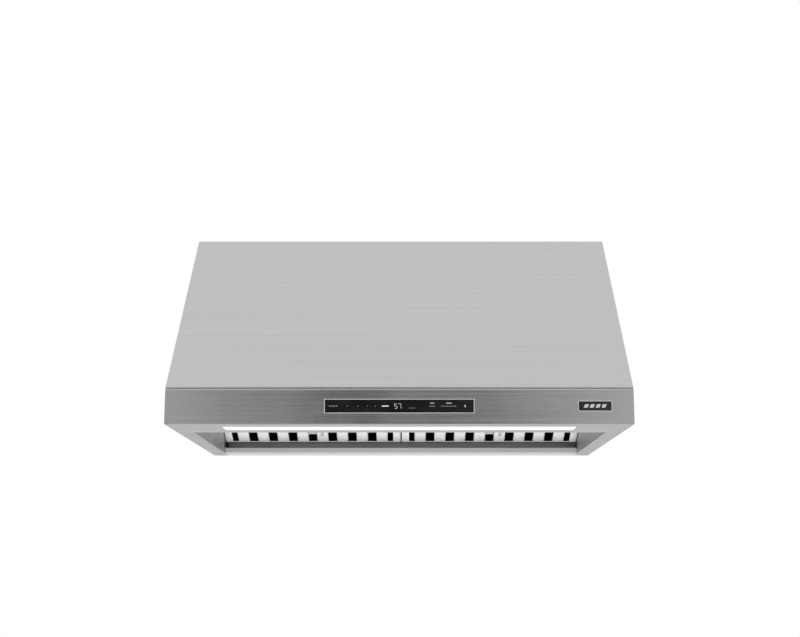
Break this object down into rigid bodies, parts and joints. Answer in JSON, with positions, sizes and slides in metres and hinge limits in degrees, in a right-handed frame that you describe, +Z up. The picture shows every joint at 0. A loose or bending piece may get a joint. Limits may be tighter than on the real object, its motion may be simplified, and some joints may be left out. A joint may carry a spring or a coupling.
{
  "type": "under cabinet range hood",
  "caption": "Under cabinet range hood: sloped stainless canopy with touch glass, light strip, hinged baffle filters, blower and damper.",
  "frame": {"origin": "middle of the underside, at the centre of the hood's width and depth", "axes": "+Z up, front faces -Y, +X to the right as seen from the front"},
  "size_m": [0.914, 0.6368, 0.469],
  "materials": {
    "shell_steel": "fine horizontal brushed grain, satin",
    "inner_steel": "brushed, slightly duller than the shell",
    "filter_steel": "bright rolled stainless sheet",
    "knob_chrome": "polished",
    "spring_steel": "bright spring strip",
    "zinc_plated": "galvanised sheet with a faint spangle",
    "motor_black": "black satin paint",
    "shaft_steel": "ground bar",
    "capacitor_can": "drawn can",
    "black_glass": "smooth black touch glass with printed light grey symbols",
    "bezel_chrome": "satin bright edge",
    "circuit_board": "green solder mask",
    "badge_black": "black plate with a light edge",
    "lens_diffuser": "milky diffuser, lit from behind",
    "led_strip_white": "white board",
    "white_enamel": "white enamel",
    "driver_case": "grey moulded case",
    "terminal_plastic": "off white moulding"
  },
  "bodies": {
    "canopy": {"back_panel": "zinc_plated", "badge_plate": "badge_black", "blower_motor": "motor_black", "control_bezel": "bezel_chrome", "control_board": "circuit_board", "control_glass": "black_glass", "damper_rod": "zinc_plated", "duct_collar": "zinc_plated", "filter_hinge_rod": "zinc_plated", "front_fascia": "shell_steel", "front_slope_panel": "shell_steel", "grease_trough": "inner_steel", "junction_box": "zinc_plated", "junction_cover": "zinc_plated", "led_board": "led_strip_white", "led_driver": "driver_case", "left_blower_scroll": "zinc_plated", "left_inlet_ring": "zinc_plated", "left_liner": "inner_steel", "left_side_panel": "shell_steel", "light_housing": "white_enamel", "light_lens": "lens_diffuser", "light_panel": "shell_steel", "motor_bracket": "zinc_plated", "outlet_plenum": "zinc_plated", "rear_rail": "shell_steel", "right_blower_scroll": "zinc_plated", "right_inlet_ring": "zinc_plated", "right_liner": "inner_steel", "right_side_panel": "shell_steel", "run_capacitor": "capacitor_can", "terminal_block": "terminal_plastic", "top_panel": "shell_steel"},
    "left_filter": {"left_filter_frame": "filter_steel", "left_lower_baffles": "filter_steel", "left_upper_baffles": "filter_steel", "left_filter_knob": "knob_chrome", "left_outer_clip": "spring_steel", "left_inner_clip": "spring_steel"},
    "right_filter": {"right_filter_frame": "filter_steel", "right_lower_baffles": "filter_steel", "right_upper_baffles": "filter_steel", "right_filter_knob": "knob_chrome", "right_outer_clip": "spring_steel", "right_inner_clip": "spring_steel"},
    "blower_rotor": {"motor_shaft": "shaft_steel", "left_blower_wheel": "zinc_plated", "right_blower_wheel": "zinc_plated"},
    "front_flap": {"damper_flap_front": "zinc_plated"},
    "rear_flap": {"damper_flap_rear": "zinc_plated"}
  },
  "joints": [
    {"name": "left_filter_swing", "type": "hinge", "parent": "canopy", "child": "left_filter", "pos_m": [-0.2115, -0.1035, 0.211], "axis": [-1, 0, 0], "range_deg": [0, 64]},
    {"name": "right_filter_swing", "type": "hinge", "parent": "canopy", "child": "right_filter", "pos_m": [0.2115, -0.1035, 0.211], "axis": [-1, 0, 0], "range_deg": [0, 64]},
    {"name": "blower_spin", "type": "hinge", "parent": "canopy", "child": "blower_rotor", "pos_m": [0, 0.1675, 0.237], "axis": [1, 0, 0], "continuous": true},
    {"name": "front_flap_lift", "type": "hinge", "parent": "canopy", "child": "front_flap", "pos_m": [0, 0.165, 0.4615], "axis": [-1, 0, 0], "range_deg": [0, 75]},
    {"name": "rear_flap_lift", "type": "hinge", "parent": "canopy", "child": "rear_flap", "pos_m": [0, 0.165, 0.4615], "axis": [1, 0, 0], "range_deg": [0, 75]}
  ]
}
